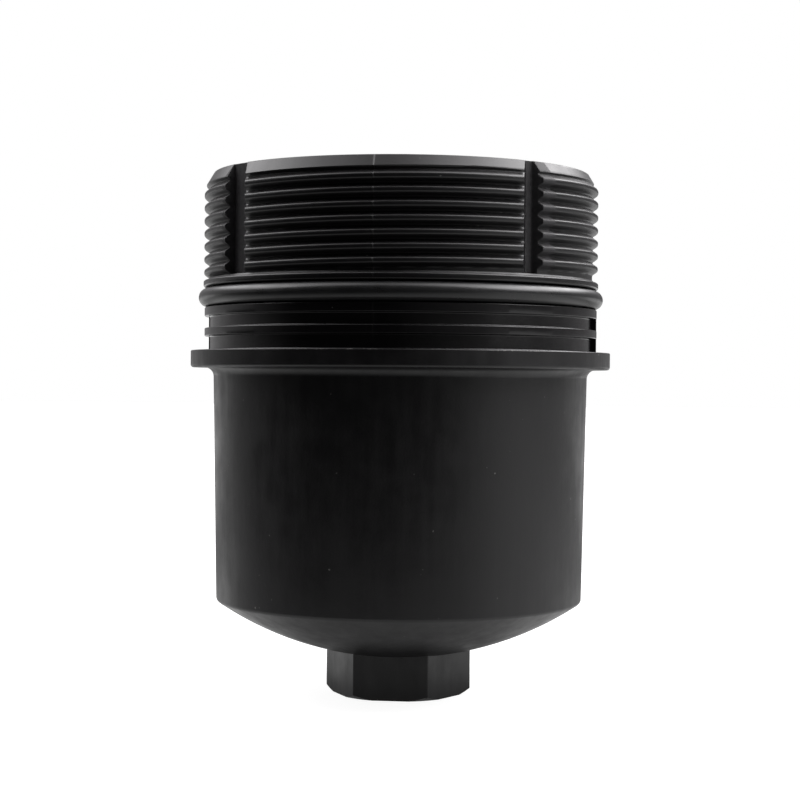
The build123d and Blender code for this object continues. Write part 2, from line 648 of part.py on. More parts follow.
pleat_step = 2 * pi / PLEAT_COUNT
outer_half = PAPER / PLEAT_OUTER_RADIUS      # half angle of the flat on an outer fold
inner_half = PAPER / PLEAT_INNER_RADIUS      # half angle of the flat on an inner fold
outer_skin = []
inner_skin = []
for pleat in range(PLEAT_COUNT):
    fold = pleat * pleat_step
    valley = fold + pleat_step / 2
    outer_skin += [polar(PLEAT_OUTER_RADIUS, fold - outer_half)]
    outer_skin += [polar(PLEAT_OUTER_RADIUS, fold + outer_half)]
    outer_skin += [polar(PLEAT_INNER_RADIUS + PAPER, valley)]
    inner_skin += [polar(PLEAT_OUTER_RADIUS - PAPER, fold)]
    inner_skin += [polar(PLEAT_INNER_RADIUS, valley - inner_half)]
    inner_skin += [polar(PLEAT_INNER_RADIUS, valley + inner_half)]

with BuildPart() as pleated_media:
    with BuildSketch(Plane.XY.offset(media_bottom)):
        with BuildLine():
            Polyline(*outer_skin, close=True)
        make_face()
        with BuildLine():
            Polyline(*inner_skin, close=True)
        make_face(mode=Mode.SUBTRACT)
    extrude(amount=media_top - media_bottom)
write(pleated_media.part, "pleated_media")

# metal strip folded over one outer fold, where the two ends of the paper meet
flank_angle = pleat_step / 2 - outer_half
clip_inner_r = PLEAT_OUTER_RADIUS - CLIP_DEPTH
flank_run = PLEAT_OUTER_RADIUS - PLEAT_INNER_RADIUS - PAPER
spread = outer_half + flank_angle * CLIP_DEPTH / flank_run
with BuildPart() as seam_clip:
    with BuildSketch(Plane.XY.offset(media_bottom + 1)):
        with BuildLine():
            edge = []
            for side in (1, -1):
                low = (clip_inner_r, side * (clip_inner_r * spread + CLIP_PLAY))
                high = (PLEAT_OUTER_RADIUS + CLIP_PLAY, side * (PAPER + CLIP_PLAY))
                edge.append((low, high))
            Polyline(
                edge[0][0],
                edge[0][1],
                edge[1][1],
                edge[1][0],
                (edge[1][0][0], edge[1][0][1] - CLIP_STRIP),
                (edge[1][1][0] + CLIP_STRIP, edge[1][1][1] - CLIP_STRIP),
                (edge[0][1][0] + CLIP_STRIP, edge[0][1][1] + CLIP_STRIP),
                (edge[0][0][0], edge[0][0][1] + CLIP_STRIP),
                close=True,
            )
        make_face()
    extrude(amount=media_top - media_bottom - 2)
write(seam_clip.part, "seam_clip")

# glue beads laid round the outer folds, open where the seam clip stands
with BuildPart() as pleat_bands:
    for band in range(BAND_COUNT):
        band_z = media_bottom + (media_top - media_bottom) * (band + 1) / (BAND_COUNT + 1)
        with BuildSketch(Plane.XY.offset(band_z - BAND_WIDTH / 2)):
            Circle(PLEAT_OUTER_RADIUS + 0.05 + BAND_THICKNESS)
            Circle(PLEAT_OUTER_RADIUS + 0.05, mode=Mode.SUBTRACT)
            with Locations((PLEAT_OUTER_RADIUS, 0)):
                Rectangle(6, 4, mode=Mode.SUBTRACT)
        extrude(amount=BAND_WIDTH)
write(pleat_bands.part, "pleat_bands")
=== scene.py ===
"""Cartridge oil filter: looks of the screw bowl, its seals, the valve and the pleated element.

Metres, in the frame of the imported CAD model: the bowl stands on its hexagon at the origin, +Z up.
"""
import bmesh
import bpy
import json
import numpy as np
from math import cos, pi, radians, sin, sqrt, tan
from mathutils import Matrix, Vector


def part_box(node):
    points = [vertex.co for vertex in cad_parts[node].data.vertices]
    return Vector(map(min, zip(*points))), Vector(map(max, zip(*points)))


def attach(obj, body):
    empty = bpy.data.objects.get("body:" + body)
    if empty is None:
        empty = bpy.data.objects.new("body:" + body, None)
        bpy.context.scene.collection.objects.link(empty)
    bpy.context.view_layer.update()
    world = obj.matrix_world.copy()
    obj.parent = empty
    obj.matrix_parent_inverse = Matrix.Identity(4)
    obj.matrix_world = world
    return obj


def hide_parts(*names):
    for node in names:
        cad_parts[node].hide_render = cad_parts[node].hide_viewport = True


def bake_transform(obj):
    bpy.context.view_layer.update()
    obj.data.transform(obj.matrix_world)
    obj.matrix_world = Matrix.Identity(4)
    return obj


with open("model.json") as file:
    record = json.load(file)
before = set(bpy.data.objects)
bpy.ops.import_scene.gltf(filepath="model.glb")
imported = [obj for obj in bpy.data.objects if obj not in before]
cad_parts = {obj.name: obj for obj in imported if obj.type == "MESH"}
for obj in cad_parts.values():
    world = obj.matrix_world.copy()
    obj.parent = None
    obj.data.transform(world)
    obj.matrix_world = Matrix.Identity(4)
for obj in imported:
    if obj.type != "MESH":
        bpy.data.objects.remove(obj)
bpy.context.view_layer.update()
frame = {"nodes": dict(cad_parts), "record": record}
MM = 0.001

bowl_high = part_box("housing_bowl")[1]

# ---------------------------------------------------------------- dimensions, millimetres
BOWL_HEIGHT = bowl_high[2] / MM
FLANGE_RADIUS = bowl_high[1] / MM
HEX_ACROSS_FLATS = 36.0
HEX_EDGE_ROUND = 0.6
HEX_END_CHAMFER = 1.3
HEX_END_SLOPE = 1.6          # run of the end chamfer for each millimetre of its height
HEX_END_ROUND = 0.22
HEX_SINK = 0.6               # how far its walls reach up into the dome
CROWN_RADIUS = 92.0
CROWN_CENTRE_Z = 102.46
CROWN_START = 14.0           # the dome's skin starts inside the hexagon
KNUCKLE_RADIUS = 10.0        # dome to cup, as the photo shows it; the CAD's corner is 6
WALL = 3.4
CUP_RADIUS_LOW = 52.1
CUP_RADIUS_TOP = 53.3
FLANGE_BOTTOM_Z = 92.4
FLANGE_TOP_Z = 97.2
FLANGE_FILLET = 2.5
FLANGE_EDGE_ROUND = 0.8
FLANGE_TOP_ROUND = 0.3
LAND_RADIUS = 55.9
LAND_ROUND = 0.25
GROOVE_RADIUS = 54.3
GROOVE_ROUND = 0.35
GROOVE_FOOT_ROUND = 0.4
FLANGE_JOIN_RADIUS = GROOVE_RADIUS + 1   # where the flange's skin meets the skin of the ribs
RIB_LOW_BOTTOM_Z = 101.2
RIB_LOW_TOP_Z = 103.5
RIB_HIGH_BOTTOM_Z = 106.8
RIB_HIGH_TOP_Z = 109.3
WEB_WIDTH = 2.6
WEB_SINK = 0.1               # the webs stop this far inside the lands
WEB_ROUND = 0.2
GLAND_RADIUS = 52.38
GLAND_TOP_Z = 115.0
GLAND_ROUND = 0.3
COLLAR_RADIUS = 56.25
COLLAR_TOP_Z = 117.0
COLLAR_ROUND = 0.6
COLLAR_TOP_WIDTH = 1.2
THREAD_PITCH = 25.4 / 7
THREAD_CREST_RADIUS = 56.1
THREAD_ROOT_RADIUS = 54.5
THREAD_CREST_HALF = 0.55     # half the width of a ridge at its crest
THREAD_FLANK_HALF = 0.96     # part way down its flank
THREAD_BASE_HALF = 1.6       # and at its base
THREAD_CREST_ROUND = 0.5
THREAD_ROOT_ROUND = 0.7
THREAD_FIRST_Z = 118.19      # ridge centre in the middle of the lowest arc
THREAD_FIRST_ANGLE = 90.0
THREAD_ARC_COUNT = 32        # four arcs a turn, between the slots
THREAD_HALF_ARC = 44.2       # degrees from the middle of an arc to its end
THREAD_START_ANGLE = THREAD_FIRST_ANGLE - THREAD_HALF_ARC
THREAD_END_ANGLE = THREAD_FIRST_ANGLE + (THREAD_ARC_COUNT - 1) * 90 + THREAD_HALF_ARC
RUN_OUT_STEP = 0.9           # the run-out cone under the thread starts this far inside the collar
THREAD_TUCK = 1.1            # the thread's skin starts this far inside the collar
THREAD_TUCK_SLOT = 1.4       # and this far at the lower end of the slots
LEAD_IN_RADIUS = 53.4
LEAD_IN_SLOPE = tan(radians(31.0))
LEAD_IN_ROUND = 0.12
RIM_EDGE = 0.1               # the rim's outer edge is broken this far in
RIM_EDGE_DROP = 0.08         # and this far down
RIM_MIDDLE_RADIUS = 52.4     # where the rim's outer and inner skins meet
SLOT_X = 37.2
SLOT_RIGHT_Y = 36.0
SLOT_RIGHT_SLOPE = 18.0
SLOT_LEFT_Y = 33.2
SLOT_LEFT_SLOPE = 38.0
SLOT_FLOOR_RADIUS = 52.9
SLOT_BOTTOM_Z = 117.5
SLOT_CORNER_ROUND = 0.25
SLOT_EDGE_ROUND = 0.1
BORE_RADIUS_TOP = 50.3
BORE_RADIUS_LOW = 48.8
BORE_CHAMFER = 1.2
BORE_EDGE_ROUND = 0.3
PLATFORM_RADIUS = 24.5
PLATFORM_Z = 19.0
PLATFORM_ROUND = 0.4
SOCKET_RADIUS = 13.4
SOCKET_FLOOR_Z = 4.5
SOCKET_EDGE_ROUND = 0.3
SOCKET_FLOOR_ROUND = 0.4
FLOOR_RIB_COUNT = 8
FLOOR_RIB_THICKNESS = 2.0
FLOOR_RIB_TOP_Z = 30.8
FLOOR_RIB_ROUND = 0.3
FLASH_HEIGHT = 0.11
FLASH_HALF_WIDTH = 0.24
FLASH_ON_RIBS = 0.7          # share of its height on the ribs and the collar
FLASH_LAG = -0.87            # degrees that the flash lies off the Y axis
SMOOTH_ANGLE = 38.0          # edges sharper than this stay sharp
PLAIN_STEP = 1.25            # degrees between the columns of the plain turned skins
NOWHERE = 0.01               # stands in for a zero radius at a closed end

# ---------------------------------------------------------------- camera
CAMERA_DISTANCE = 526 * MM
CAMERA_HEIGHT = 89 * MM
CAMERA_AZIMUTH = radians(6.7)
CAMERA_PITCH = radians(-0.6)
CAMERA_ROLL = radians(-0.45)
CAMERA_LENS = 82.5

# ---------------------------------------------------------------- light
PAPER_GLOW = 0.92            # the floor as the camera sees it
FLOOR_REACH = 6.0            # metres
ROOM_GLOW_LEFT = 0.36
ROOM_GLOW_RIGHT = 0.2
ROOM_LEFT_TO_RIGHT = (-0.5, 0.3)   # sideways part of the direction over which the glow changes
FLAG_GLOW = 0.012
FLAG_TURN = radians(34)      # the dark flag stands this far to the left of the camera
FLAG_CORE = radians(30)      # the flag is darkest within this angle
FLAG_EDGE = radians(76)      # and gone beyond this one
BOX_TURN = radians(8)        # the soft box is turned this far to the left of the camera
BOX_GLOW_LEFT = 1.9
BOX_GLOW_RIGHT = 3.6
BOX_GLOW_MIDDLE = 0.3        # share left in the middle of the box
BOX_GLOW_ENDS = 2.2          # gain at its two ends
BOX_LOW_EDGE = 0.6           # upward part of the direction at the box's lower edge
BOX_LOW_EDGE_ENDS = 0.36     # the ends reach further down
BOX_LOW_EDGE_WIDTH = 0.2
# places on the box, in metres for each metre above the floor
BOX_FRONT_EDGE = (0.42, 0.55)
BOX_OFFSET = 0.08            # the middle lies this far to the left
BOX_MIDDLE_EDGE = (0.08, 0.34)
BOX_ENDS_EDGE = (0.6, 0.85)
BOX_LOW_EDGE_CHANGE = (0.6, 0.9)
BOX_LEFT_TO_RIGHT = (-0.5, 0.5)
FLOOR_GLOW = 1.0             # of the paper on the bright side, in reflections
FLOOR_GLOW_FLAG = 0.65       # of the paper on the flag's side
FLOOR_GLOW_UNDER = 0.3       # share that reaches the paper under the bowl
FLOOR_GLOW_FAR = 0.06        # share left far out on the flag's side
FLOOR_GLOW_BACK = 0.2        # share left in a strip behind the bowl
# places on the floor, in metres from the bowl's axis
FLAG_SHADE = (0.0, 0.055)
FLAG_SHADE_FAR = (0.08, 0.26)
BACK_STRIP_NEAR_EDGE = (-0.28, -0.14)
BACK_STRIP_FAR_EDGE = (-0.56, -0.4)
UNDER_EDGE = (0.03, 0.065)


def level_direction(turn):
    """Unit vector from the origin along the floor, turned left from the camera."""
    return (sin(CAMERA_AZIMUTH - turn), -cos(CAMERA_AZIMUTH - turn), 0)


towards_flag = level_direction(FLAG_TURN)
towards_front = level_direction(BOX_TURN)
towards_right = (cos(CAMERA_AZIMUTH), sin(CAMERA_AZIMUTH), 0)


def add_camera():
    data = bpy.data.cameras.new("camera")
    data.lens = CAMERA_LENS
    data.sensor_width = 36
    camera = bpy.data.objects.new("camera", data)
    bpy.context.scene.collection.objects.link(camera)
    place = Vector((sin(CAMERA_AZIMUTH), -cos(CAMERA_AZIMUTH), 0)) * CAMERA_DISTANCE
    place.z = CAMERA_HEIGHT
    turn = Matrix.Rotation(CAMERA_AZIMUTH, 4, "Z") @ Matrix.Rotation(pi / 2 + CAMERA_PITCH, 4, "X")
    camera.matrix_world = Matrix.Translation(place) @ turn @ Matrix.Rotation(-CAMERA_ROLL, 4, "Z")
    bpy.context.scene.camera = camera


add_camera()


# ---------------------------------------------------------------- node helpers
class Nodes:
    """A material or world node tree being filled in."""

    def __init__(self, tree):
        self.tree = tree

    def add(self, kind, **settings):
        node = self.tree.nodes.new(kind)
        for key, value in settings.items():
            if key in node.inputs:
                node.inputs[key].default_value = value
            else:
                setattr(node, key, value)
        return node

    def link(self, source, target):
        self.tree.links.new(source, target)

    def noise(self, coords, scale, detail=3.0, roughness=0.55):
        node = self.add("ShaderNodeTexNoise")
        node.inputs["Scale"].default_value = scale
        node.inputs["Detail"].default_value = detail
        node.inputs["Roughness"].default_value = roughness
        self.link(coords, node.inputs["Vector"])
        return node.outputs["Fac"]

    def stretch(self, coords, x, y, z):
        node = self.add("ShaderNodeVectorMath", operation="MULTIPLY")
        node.inputs[1].default_value = (x, y, z)
        self.link(coords, node.inputs[0])
        return node.outputs[0]

    def span(self, value, low, high, to_low=0.0, to_high=1.0):
        node = self.add("ShaderNodeMapRange")
        node.inputs["From Min"].default_value = low
        node.inputs["From Max"].default_value = high
        node.inputs["To Min"].default_value = to_low
        node.inputs["To Max"].default_value = to_high
        self.link(value, node.inputs["Value"])
        return node.outputs["Result"]

    def math(self, operation, first, second=0.0):
        node = self.add("ShaderNodeMath", operation=operation)
        for socket, value in zip(node.inputs, (first, second)):
            if isinstance(value, (int, float)):
                socket.default_value = value
            else:
                self.link(value, socket)
        return node.outputs[0]

    def product(self, first, *others):
        for other in others:
            first = self.math("MULTIPLY", first, other)
        return first

    def along(self, vector, direction):
        node = self.add("ShaderNodeVectorMath", operation="DOT_PRODUCT")
        node.inputs[1].default_value = direction
        self.link(vector, node.inputs[0])
        return node.outputs["Value"]

    def separate(self, vector):
        node = self.add("ShaderNodeSeparateXYZ")
        self.link(vector, node.inputs[0])
        return node.outputs

    def mix(self, factor, first, second):
        node = self.add("ShaderNodeMix", data_type="RGBA")
        self.link(factor, node.inputs["Factor"])
        for socket, value in zip((node.inputs[6], node.inputs[7]), (first, second)):
            if isinstance(value, tuple):
                socket.default_value = (*value, 1.0)
            else:
                self.link(value, socket)
        return node.outputs[2]

    def bump(self, height, depth, normal=None):
        node = self.add("ShaderNodeBump")
        node.inputs["Strength"].default_value = 1.0
        node.inputs["Distance"].default_value = depth
        self.link(height, node.inputs["Height"])
        if normal is not None:
            self.link(normal, node.inputs["Normal"])
        return node.outputs["Normal"]


def new_material(name):
    material = bpy.data.materials.new(name)
    material.use_nodes = True
    material.node_tree.nodes.clear()
    tree = Nodes(material.node_tree)
    shader = tree.add("ShaderNodeBsdfPrincipled")
    output = tree.add("ShaderNodeOutputMaterial")
    tree.link(shader.outputs[0], output.inputs[0])
    coords = tree.add("ShaderNodeTexCoord").outputs["Object"]
    return material, tree, shader, coords


def moulded(name, dark, light, rough, grain, grain_scale):
    """Injection-moulded or rubber surface: mottled colour, fine grain, uneven gloss."""
    material, tree, shader, coords = new_material(name)
    blotch = tree.span(tree.noise(coords, 55.0, 4.0), 0.32, 0.68)
    tree.link(tree.mix(blotch, dark, light), shader.inputs["Base Color"])
    gloss = tree.noise(coords, 240.0, 3.0)
    tree.link(tree.span(gloss, 0.3, 0.7, *rough), shader.inputs["Roughness"])
    fine = tree.noise(coords, grain_scale, 2.0)
    tree.link(tree.bump(fine, grain * MM), shader.inputs["Normal"])
    return material


def metal(name, dark, light, rough, lines=(1.0, 1.0, 60.0)):
    """Bare or plated metal with drawn or turned lines and a cloudy finish."""
    material, tree, shader, coords = new_material(name)
    cloud = tree.span(tree.noise(coords, 160.0, 4.0), 0.3, 0.7)
    tree.link(tree.mix(cloud, dark, light), shader.inputs["Base Color"])
    drawn = tree.noise(tree.stretch(coords, *lines), 90.0, 3.0)
    tree.link(tree.span(drawn, 0.3, 0.7, *rough), shader.inputs["Roughness"])
    tree.link(tree.bump(drawn, 0.01 * MM), shader.inputs["Normal"])
    shader.inputs["Metallic"].default_value = 1.0
    return material


# ---------------------------------------------------------------- materials
def radius_from_axis(tree, place):
    squares = [tree.math("MULTIPLY", place[axis], place[axis]) for axis in (0, 1)]
    return tree.math("SQRT", tree.math("ADD", *squares))


def slot_mask(tree, place, radius):
    """1 on the walls and floors of the four slots, 0 elsewhere."""
    past_x = tree.span(tree.math("ABSOLUTE", place[0]), (SLOT_X + 0.05) * MM, (SLOT_X + 0.2) * MM)
    past_y = tree.span(tree.math("ABSOLUTE", place[1]), (SLOT_LEFT_Y - 0.1) * MM, (SLOT_LEFT_Y + 0.1) * MM)
    above = tree.span(place[2], SLOT_BOTTOM_Z * MM, (SLOT_BOTTOM_Z + 0.1) * MM)
    outside = tree.span(radius, (SLOT_FLOOR_RADIUS - 1.0) * MM, (SLOT_FLOOR_RADIUS - 0.5) * MM)
    return tree.product(above, tree.product(past_x, past_y), outside)


def bowl_colour(tree, coords, place, radius, in_slot):
    """Nearly black, with cloudy patches, streaks up the cup, pale specks, edge wear and pitted slots."""
    blotch = tree.span(tree.noise(coords, 38.0, 5.0, 0.6), 0.3, 0.7)
    colour = tree.mix(blotch, (0.0014, 0.0011, 0.0015), (0.0024, 0.002, 0.0026))
    streak = tree.span(tree.noise(tree.stretch(coords, 1.0, 1.0, 0.06), 420.0, 3.0), 0.56, 0.8)
    colour = tree.mix(streak, colour, (0.0042, 0.0036, 0.0044))
    speck = tree.span(tree.noise(coords, 700.0, 1.0), 0.79, 0.84)
    colour = tree.mix(speck, colour, (0.09, 0.088, 0.085))
    near_edge = tree.span(radius, (FLANGE_RADIUS - 0.75) * MM, (FLANGE_RADIUS - 0.1) * MM)
    near_top = tree.span(place[2], (FLANGE_TOP_Z - 0.55) * MM, (FLANGE_TOP_Z - 0.1) * MM)
    chips = tree.span(tree.noise(coords, 900.0, 3.0), 0.52, 0.62)
    patches = tree.span(tree.noise(coords, 24.0, 2.0), 0.5, 0.62)
    wear = tree.product(near_edge, near_top, tree.product(chips, patches))
    colour = tree.mix(wear, colour, (0.11, 0.105, 0.1))
    pits = tree.span(tree.noise(coords, 900.0, 3.0), 0.35, 0.7)
    return tree.mix(in_slot, colour, tree.mix(pits, (0.008, 0.0074, 0.0085), (0.022, 0.0205, 0.0225)))


def bowl_roughness(tree, coords, place, in_slot):
    """Matt cup, polished above the flange, duller on the thread and rough in the slots."""
    drawn = tree.noise(tree.stretch(coords, 1.0, 1.0, 0.12), 300.0, 4.0, 0.6)
    gloss = tree.math("MULTIPLY", tree.math("ADD", tree.noise(coords, 130.0, 4.0), drawn), 0.5)
    matt = tree.span(gloss, 0.38, 0.62, 0.33, 0.45)
    polished = tree.span(gloss, 0.3, 0.7, 0.16, 0.24)
    duller = tree.span(place[2], GLAND_TOP_Z * MM, COLLAR_TOP_Z * MM, 0.0, 0.16)
    upper = tree.span(place[2], (FLANGE_TOP_Z - 0.3) * MM, (FLANGE_TOP_Z + 0.2) * MM)
    rough = tree.math("ADD", tree.product(tree.math("ADD", polished, duller), upper),
                      tree.product(matt, tree.math("SUBTRACT", 1.0, upper)))
    return tree.math("ADD", rough, tree.math("MULTIPLY", in_slot, 0.25))


def bowl_nylon():
    """Black glass-filled nylon as it comes from the mould."""
    material, tree, shader, coords = new_material("bowl_nylon")
    place = tree.separate(coords)
    radius = radius_from_axis(tree, place)
    in_slot = slot_mask(tree, place, radius)
    tree.link(bowl_colour(tree, coords, place, radius, in_slot), shader.inputs["Base Color"])
    tree.link(bowl_roughness(tree, coords, place, in_slot), shader.inputs["Roughness"])
    grain = tree.bump(tree.noise(coords, 2600.0, 2.0), 0.014 * MM)
    coarse = tree.noise(coords, 520.0, 3.0)
    tree.link(tree.bump(coarse, 0.02 * MM, normal=grain), shader.inputs["Normal"])
    return material


def filter_paper():
    """Resin-treated paper: warm fibres, pressed dimples along the pleats."""
    material, tree, shader, coords = new_material("filter_paper")
    fibre = tree.noise(tree.stretch(coords, 1.0, 1.0, 0.35), 2200.0, 4.0)
    cloud = tree.noise(coords, 120.0, 4.0)
    colour = tree.mix(tree.span(cloud, 0.3, 0.7), (0.62, 0.49, 0.27), (0.74, 0.63, 0.4))
    colour = tree.mix(tree.span(fibre, 0.5, 0.78), colour, (0.84, 0.76, 0.56))
    tree.link(colour, shader.inputs["Base Color"])
    tree.link(tree.span(cloud, 0.3, 0.7, 0.82, 0.95), shader.inputs["Roughness"])
    wave = tree.add("ShaderNodeTexWave", bands_direction="Z")
    wave.inputs["Scale"].default_value = 130.0
    wave.inputs["Distortion"].default_value = 0.6
    tree.link(coords, wave.inputs["Vector"])
    rough_fibres = tree.bump(fibre, 0.03 * MM)
    tree.link(tree.bump(wave.outputs["Fac"], 0.06 * MM, normal=rough_fibres), shader.inputs["Normal"])
    return material


materials = {
    "bowl_nylon": bowl_nylon(),
    "filter_paper": filter_paper(),
    "seal_rubber": moulded("seal_rubber", (0.006, 0.006, 0.0064), (0.010, 0.010, 0.0105),
                           (0.27, 0.36), 0.006, 2400.0),
    "grommet_rubber": moulded("grommet_rubber", (0.012, 0.011, 0.011), (0.022, 0.020, 0.020),
                              (0.5, 0.66), 0.02, 1500.0),
    "turret_nylon": moulded("turret_nylon", (0.018, 0.018, 0.02), (0.03, 0.03, 0.033),
                            (0.36, 0.5), 0.02, 1700.0),
    "retainer_nylon": moulded("retainer_nylon", (0.52, 0.48, 0.38), (0.64, 0.6, 0.5),
                              (0.38, 0.5), 0.015, 1500.0),
    "cap_nylon": moulded("cap_nylon", (0.025, 0.026, 0.03), (0.042, 0.043, 0.047),
                         (0.34, 0.46), 0.02, 1600.0),
    "potting": moulded("potting", (0.42, 0.08, 0.04), (0.56, 0.13, 0.07),
                       (0.3, 0.45), 0.05, 500.0),
    "glue": moulded("glue", (0.72, 0.62, 0.4), (0.84, 0.78, 0.6), (0.22, 0.4), 0.08, 420.0),
    "poppet_metal": metal("poppet_metal", (0.5, 0.5, 0.51), (0.66, 0.66, 0.67), (0.24, 0.4)),
    "spring_steel": metal("spring_steel", (0.3, 0.29, 0.28), (0.5, 0.5, 0.5), (0.22, 0.38),
                          (40.0, 40.0, 4.0)),
    "plate_steel": metal("plate_steel", (0.5, 0.48, 0.38), (0.68, 0.66, 0.56), (0.28, 0.46)),
    "circlip_steel": metal("circlip_steel", (0.09, 0.085, 0.08), (0.16, 0.15, 0.14), (0.36, 0.5)),
    "clip_steel": metal("clip_steel", (0.48, 0.48, 0.48), (0.66, 0.66, 0.65), (0.26, 0.42)),
    "tube_steel": metal("tube_steel", (0.42, 0.42, 0.41), (0.62, 0.62, 0.6), (0.28, 0.46)),
}

for row in frame["record"]["subparts"]:
    node = frame["nodes"][row["node"]]
    node.data.materials.clear()
    node.data.materials.append(materials[row["material_slot"]])


# ---------------------------------------------------------------- mesh helpers
def crown_height(radius, sphere_radius):
    """Height of the dome at a distance from the axis."""
    return CROWN_CENTRE_Z - sqrt(sphere_radius**2 - radius**2)


def rounded(corners, steps=4):
    """Outline (radius, height) through corners given as (radius, height, rounding)."""
    line = []
    last = len(corners) - 1
    for index, (r, z, rounding) in enumerate(corners):
        if rounding == 0 or index in (0, last):
            line.append((r, z))
            continue
        here = Vector((r, z))
        back = Vector(corners[index - 1][:2]) - here
        ahead = Vector(corners[index + 1][:2]) - here
        half = back.angle(ahead) / 2
        reach = min(rounding / tan(half), back.length * 0.49, ahead.length * 0.49)
        radius = reach * tan(half)
        centre = here + (back.normalized() + ahead.normalized()).normalized() * (radius / sin(half))
        start = here + back.normalized() * reach - centre
        end = here + ahead.normalized() * reach - centre
        turn = start.angle_signed(end)
        for step in range(steps + 1):
            angle = -turn * step / steps
            spoke = Vector((start.x * cos(angle) - start.y * sin(angle),
                            start.x * sin(angle) + start.y * cos(angle)))
            line.append(tuple(centre + spoke))
    return line


def grid_mesh(rows, angles, shift=0):
    """Vertices and quads of a surface round the axis. rows holds (radius, height) arrays, one
    value for each angle. Past the last angle a row carries on in the one shift rows above."""
    count = len(angles)
    last = len(rows) - 1
    cosines = np.cos(np.radians(angles))
    sines = np.sin(np.radians(angles))
    points = []
    for radius, height in rows:
        radius = np.broadcast_to(radius, count)
        height = np.broadcast_to(height, count)
        points.append(np.stack([radius * cosines, radius * sines, height], axis=1))
    faces = []
    for row in range(last):
        for column in range(count):
            low, high = row, row + 1
            next_column = column + 1
            if next_column == count:
                next_column = 0
                low, high = min(row + shift, last), min(row + 1 + shift, last)
            faces.append((row * count + column, low * count + next_column,
                          high * count + next_column, (row + 1) * count + column))
    return np.concatenate(points), faces


def make_piece(name, shells, material, body):
    """One object of several shells of (points in millimetres, faces), smooth up to SMOOTH_ANGLE."""
    points = []
    faces = []
    for shell_points, shell_faces in shells:
        base = len(points)
        points.extend(tuple(float(c) * MM for c in point) for point in shell_points)
        faces.extend(tuple(base + index for index in face) for face in shell_faces)
    mesh = bpy.data.meshes.new(name)
    mesh.from_pydata(points, [], faces)
    work = bmesh.new()
    work.from_mesh(mesh)
    bmesh.ops.remove_doubles(work, verts=work.verts, dist=0.002 * MM)
    bmesh.ops.dissolve_degenerate(work, edges=work.edges, dist=0.001 * MM)
    for face in work.faces:
        face.smooth = True
    for edge in work.edges:
        if len(edge.link_faces) == 2 and edge.calc_face_angle(0.0) > radians(SMOOTH_ANGLE):
            edge.smooth = False
    work.to_mesh(mesh)
    work.free()
    mesh.materials.append(materials[material])
    piece = bpy.data.objects.new(name, mesh)
    bpy.context.scene.collection.objects.link(piece)
    weighted = piece.modifiers.new("normals", "WEIGHTED_NORMAL")
    weighted.keep_sharp = True
    if body:
        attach(piece, body)
    return piece


# ---------------------------------------------------------------- bowl skin
def smooth_min(first, second, blend):
    """The smaller of two surfaces with the corner between them rounded."""
    gap = np.maximum(blend - np.abs(first - second), 0)
    return np.minimum(first, second) - gap * gap / (4 * blend)


def smooth_max(first, second, blend):
    """The larger of two surfaces with the corner between them rounded."""
    return -smooth_min(-first, -second, blend)


def column_angles():
    """Angles of the upper skin's columns: close together at the slots and the parting line."""
    angles = list(np.arange(0, 360, 1.0))
    for quarter in (45, 135, 225, 315):
        angles += list(np.arange(quarter - 8, quarter + 8, 0.2))
    for seam in (90, 270):
        angles += [seam + FLASH_LAG + offset for offset in (-0.5, -0.24, -0.12, 0, 0.12, 0.24, 0.5)]
    return np.unique(np.round(angles, 3))


def slot_radius(angles):
    """Radius of the slots' walls and floor at each angle, large where there is no slot."""
    across = np.cos(np.radians(angles))
    x = np.abs(across) + 1e-9
    y = np.abs(np.sin(np.radians(angles))) + 1e-9
    corner = SLOT_FLOOR_RADIUS * sqrt(2)
    floor = corner / (x + y)
    radius = smooth_max(floor, SLOT_X / x, SLOT_CORNER_ROUND)
    right = (across > 0, SLOT_RIGHT_Y, SLOT_RIGHT_SLOPE)
    left = (across <= 0, SLOT_LEFT_Y, SLOT_LEFT_SLOPE)
    for here, wall_y, slope in (right, left):
        lean = tan(radians(slope))
        rise = np.maximum(y - lean * x, 1e-6)
        wall = (wall_y - lean * (corner - wall_y)) / rise
        radius = np.where(here, smooth_max(radius, wall, SLOT_CORNER_ROUND), radius)
    return radius


def rim_edge(slots):
    """Outer radius of the rim's flat, which the slots cut into."""
    return np.minimum(LEAD_IN_RADIUS, slots) - RIM_EDGE


def flash(angles, radius):
    """Height of the flash that the mould leaves on its parting line."""
    away = np.abs((np.asarray(angles) - FLASH_LAG) % 180 - 90) * pi / 180 * radius
    return FLASH_HEIGHT * np.maximum(1 - away / FLASH_HALF_WIDTH, 0)


def ridge_offsets():
    """Heights of the rows across one ridge, from its centre: close together at crest and base."""
    crest = [THREAD_CREST_HALF - 0.17, THREAD_CREST_HALF + 0.03, THREAD_CREST_HALF + 0.17]
    base = [THREAD_BASE_HALF - 0.3, THREAD_BASE_HALF - 0.12, THREAD_BASE_HALF + 0.06]
    upper = crest + [THREAD_FLANK_HALF] + base
    return [-THREAD_PITCH / 2] + [-offset for offset in reversed(upper)] + [0] + upper


